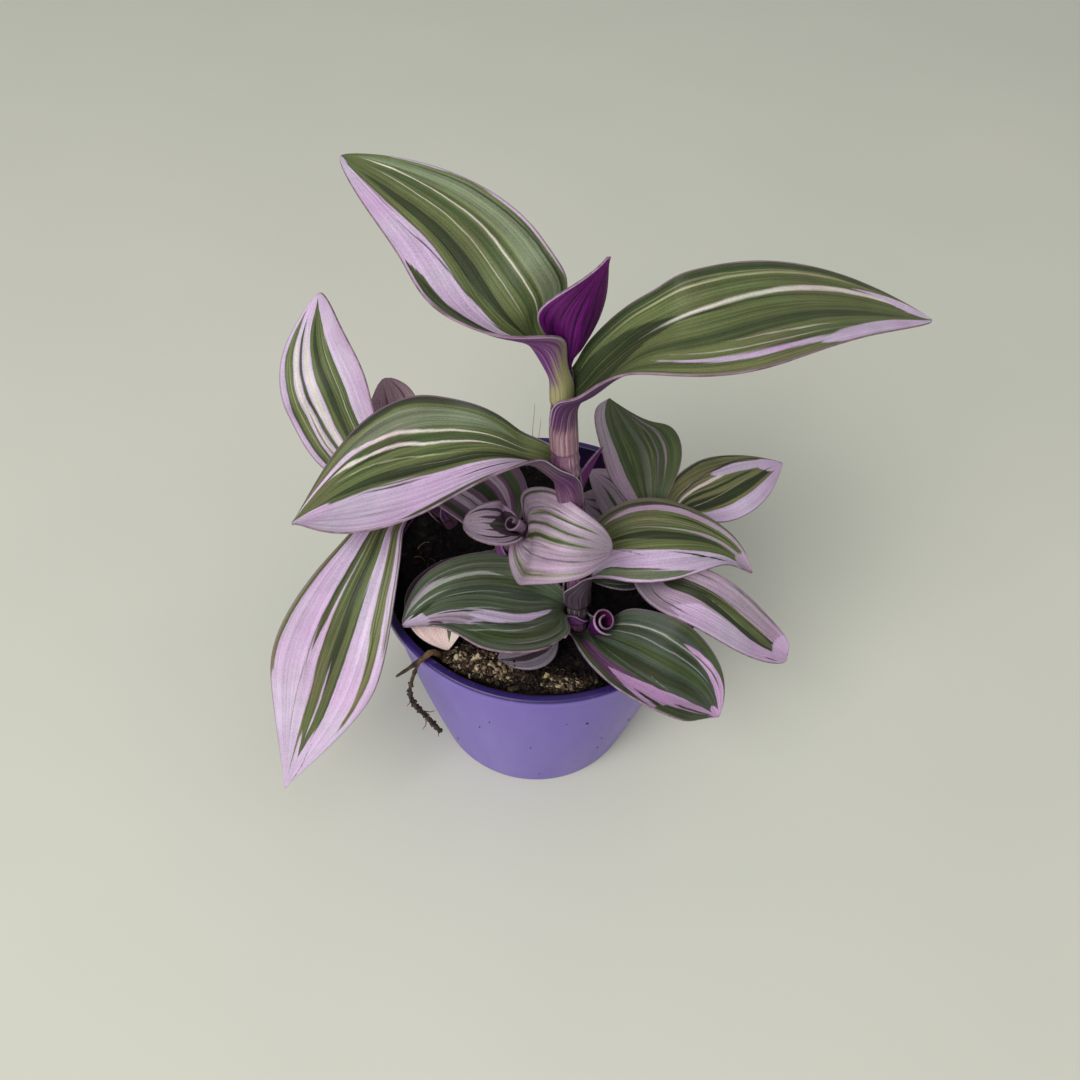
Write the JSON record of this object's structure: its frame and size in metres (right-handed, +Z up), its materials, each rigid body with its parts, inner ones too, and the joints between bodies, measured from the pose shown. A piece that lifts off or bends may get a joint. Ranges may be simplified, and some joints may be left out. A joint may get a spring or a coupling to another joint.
{
  "type": "potted tradescantia",
  "caption": "Striped tradescantia with sheathed, trough-shaped leaves on jointed stems, growing in a tapered lavender nursery pot of soil.",
  "frame": {"origin": "centre of the pot's flat underside, on the surface that the pot stands on", "axes": "+Z up along the pot's axis, +Y away from the viewer of the picture, +X to the right in it"},
  "size_m": [0.1664, 0.1089, 0.2072],
  "materials": {
    "pot_plastic": "satin",
    "potting_soil": "rough",
    "dry_stalk": "matte",
    "stem_skin": "satin",
    "striped_leaf": "satin",
    "purple_bud": "satin"
  },
  "bodies": {
    "root": {"pot": "pot_plastic", "soil": "potting_soil", "dead_stalk": "dry_stalk", "stem_main": "stem_skin", "stem_rosette": "stem_skin", "stem_right": "stem_skin", "stem_left": "stem_skin", "leaf_top_left": "striped_leaf", "leaf_top_right": "striped_leaf", "leaf_big_left": "striped_leaf", "leaf_low_left": "striped_leaf", "leaf_mid_right": "striped_leaf", "leaf_low_right": "striped_leaf", "leaf_low_front": "striped_leaf", "leaf_rosette_right": "striped_leaf", "leaf_rosette_left": "striped_leaf", "leaf_rosette_back": "striped_leaf", "leaf_under_left": "striped_leaf", "leaf_right_back": "striped_leaf", "leaf_right_far": "striped_leaf", "leaf_right_droop": "striped_leaf", "leaf_right_inner": "striped_leaf", "leaf_right_near": "striped_leaf", "leaf_right_low": "striped_leaf", "leaf_left_back": "striped_leaf", "leaf_left_hang": "striped_leaf", "leaf_left_behind": "striped_leaf", "leaf_tip_bud": "purple_bud", "bud_node": "purple_bud", "bud_low_right": "purple_bud", "rosette_roll": "purple_bud"}
  },
  "joints": []
}
